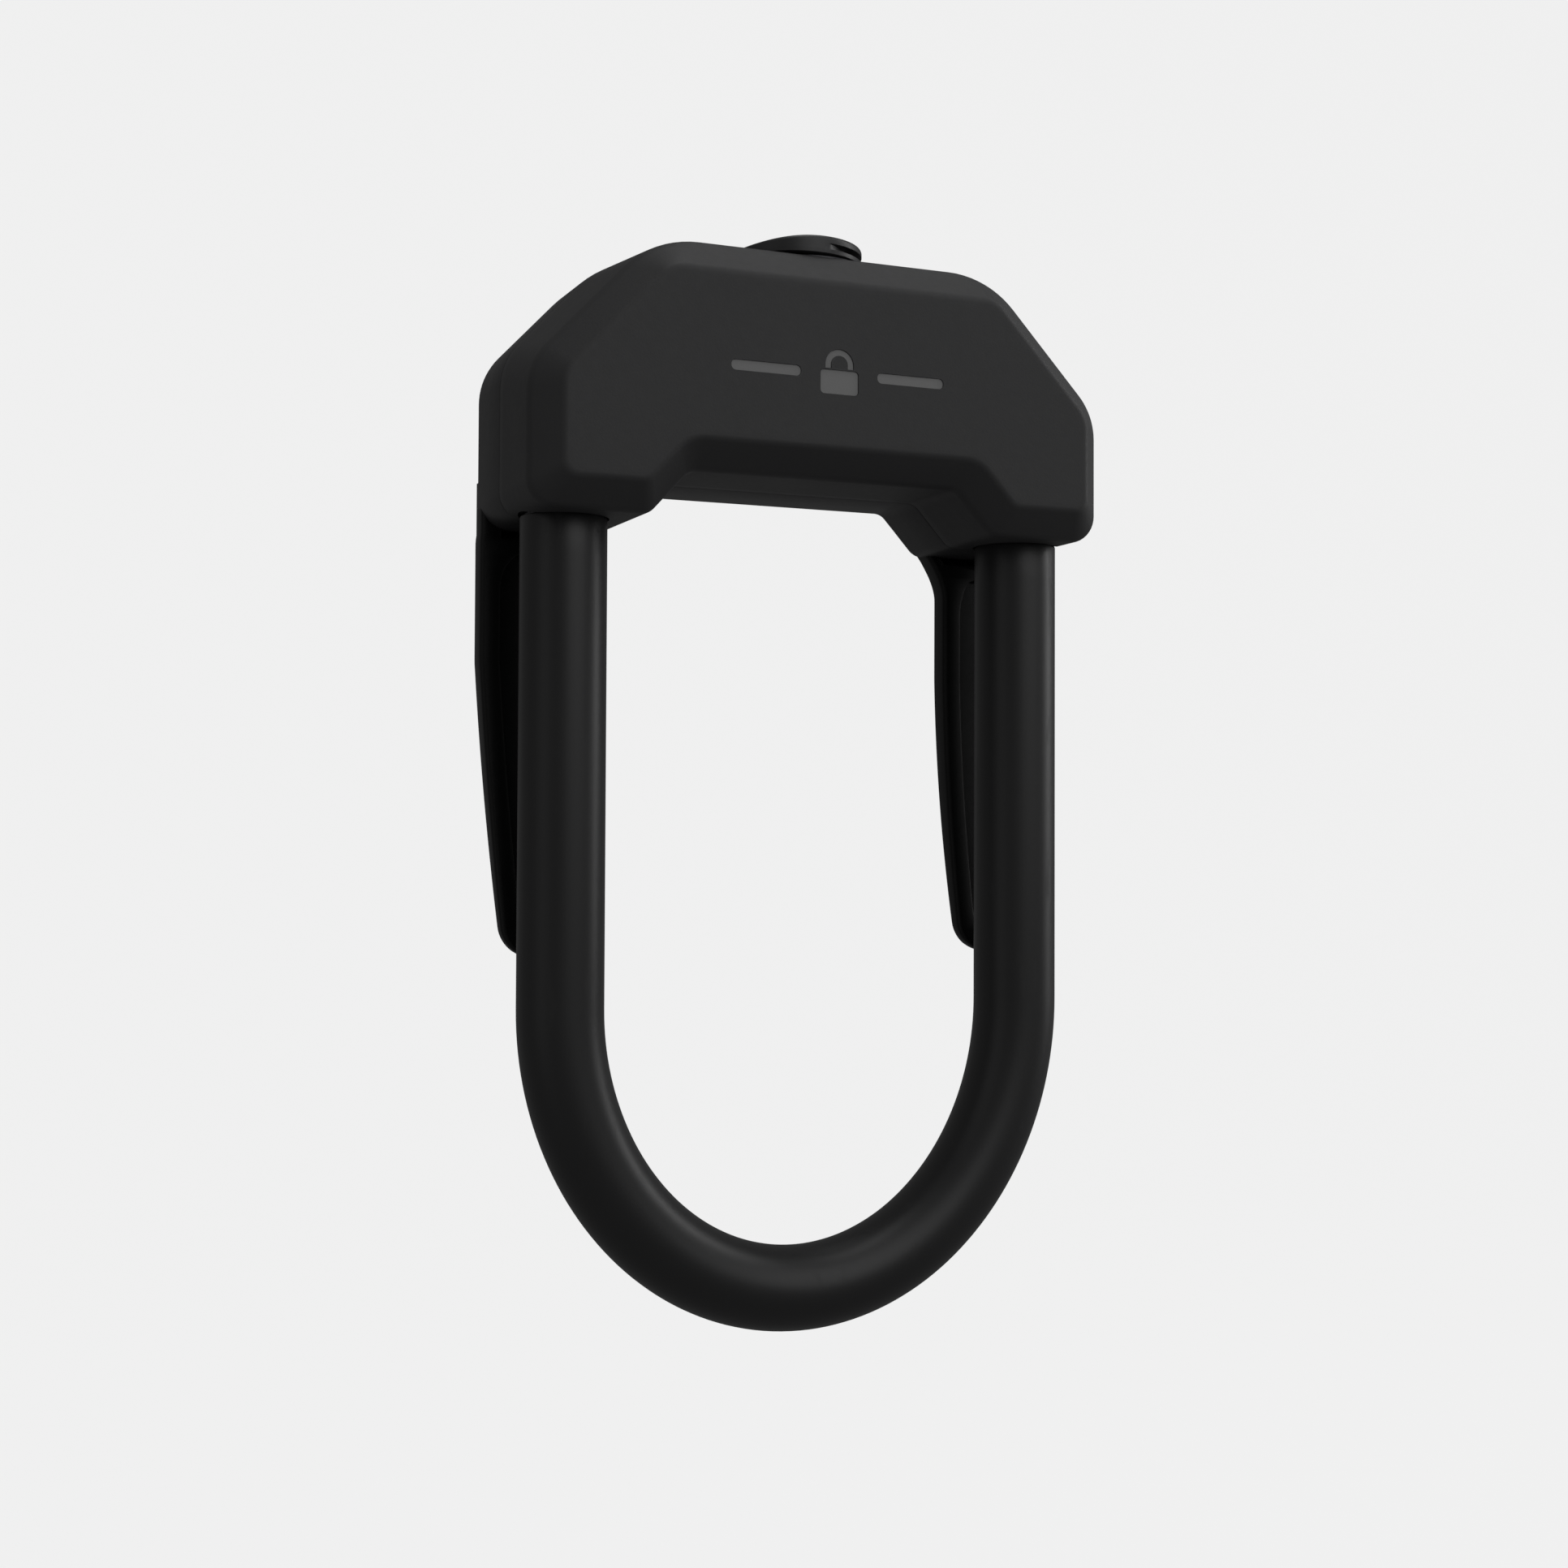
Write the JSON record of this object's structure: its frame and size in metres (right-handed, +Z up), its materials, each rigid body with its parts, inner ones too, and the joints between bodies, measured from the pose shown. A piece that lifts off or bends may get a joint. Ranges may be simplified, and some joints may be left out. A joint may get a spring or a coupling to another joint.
{
  "type": "u lock",
  "caption": "Compact bicycle U lock: coated shackle held by a bevelled crossbar with a keyed double-bolt lock, a swivelling dust cover and belt clips on its back.",
  "frame": {"origin": "middle of the belt space: halfway between the two clips, halfway from the legs to the clips, level with the bottoms of the crossbar's bosses, where a belt stops", "axes": "+Z up from shackle to crossbar, +Y out of the back through the clips, +X to the right seen from the front"},
  "size_m": [0.105, 0.0377, 0.1873],
  "materials": {
    "cover_plastic": "fine moulded texture",
    "cap_plastic": "smooth moulded",
    "clip_plastic": "semi-gloss moulded",
    "soft_coat": "smooth satin coat",
    "seal_rubber": "matt",
    "hardened_steel": "hardened, dark",
    "block_steel": "machined",
    "bolt_steel": "ground",
    "dark_steel": "blackened",
    "cylinder_brass": "machined",
    "bush_brass": "machined"
  },
  "bodies": {
    "crossbar": {"front_cover": "cover_plastic", "rear_cover": "cover_plastic", "lock_block": "block_steel", "anti_drill_plate": "block_steel", "plate_screws": "bolt_steel", "left_bush": "bush_brass", "right_bush": "bush_brass", "left_seal": "seal_rubber", "right_seal": "seal_rubber", "cylinder_shell": "cylinder_brass", "cylinder_pin": "bolt_steel", "escutcheon": "dark_steel", "cover_rivet": "bolt_steel", "cover_screws": "bolt_steel"},
    "shackle": {"shackle_bar": "hardened_steel", "shackle_sleeve": "soft_coat"},
    "cylinder_plug": {"plug": "cylinder_brass", "lock_discs": "cylinder_brass", "disc_spacers": "bolt_steel", "sidebar": "bolt_steel", "drive_cam": "block_steel", "cam_screw": "bolt_steel"},
    "bolt_left": {"left_bolt": "bolt_steel", "left_yoke": "block_steel"},
    "bolt_right": {"right_bolt": "bolt_steel", "right_yoke": "block_steel"},
    "keyhole_cover": {"dust_cover": "cap_plastic"},
    "clip_left": {"left_clip": "clip_plastic"},
    "clip_right": {"right_clip": "clip_plastic"}
  },
  "joints": [
    {"name": "shackle_slide", "type": "slide", "parent": "crossbar", "child": "shackle", "axis": [0, 0, -1], "range_m": [0, 0.034]},
    {"name": "plug_turn", "type": "hinge", "parent": "crossbar", "child": "cylinder_plug", "pos_m": [0, -0.01165, 0.034], "axis": [0, 0, -1], "range_deg": [0, 90]},
    {"name": "left_bolt_slide", "type": "slide", "parent": "crossbar", "child": "bolt_left", "axis": [-1, 0, 0], "range_m": [0, 0.006]},
    {"name": "right_bolt_slide", "type": "slide", "parent": "crossbar", "child": "bolt_right", "axis": [1, 0, 0], "range_m": [0, 0.006]},
    {"name": "dust_cover_swivel", "type": "hinge", "parent": "crossbar", "child": "keyhole_cover", "pos_m": [-0.009, -0.01165, 0.0475], "axis": [0, 0, 1], "range_deg": [0, 150]},
    {"name": "left_clip_flex", "type": "hinge", "parent": "crossbar", "child": "clip_left", "pos_m": [-0.04455, 0.0067, -0.004], "axis": [1, 0, 0], "range_deg": [0, 8], "stiffness_Nm_per_rad": 15},
    {"name": "right_clip_flex", "type": "hinge", "parent": "crossbar", "child": "clip_right", "pos_m": [0.04455, 0.0067, -0.004], "axis": [1, 0, 0], "range_deg": [0, 8], "stiffness_Nm_per_rad": 15}
  ],
  "couplings": [
    {"joint": "left_bolt_slide", "follows": "plug_turn", "m_per_rad": 0.0038197},
    {"joint": "right_bolt_slide", "follows": "plug_turn", "m_per_rad": 0.0038197}
  ]
}
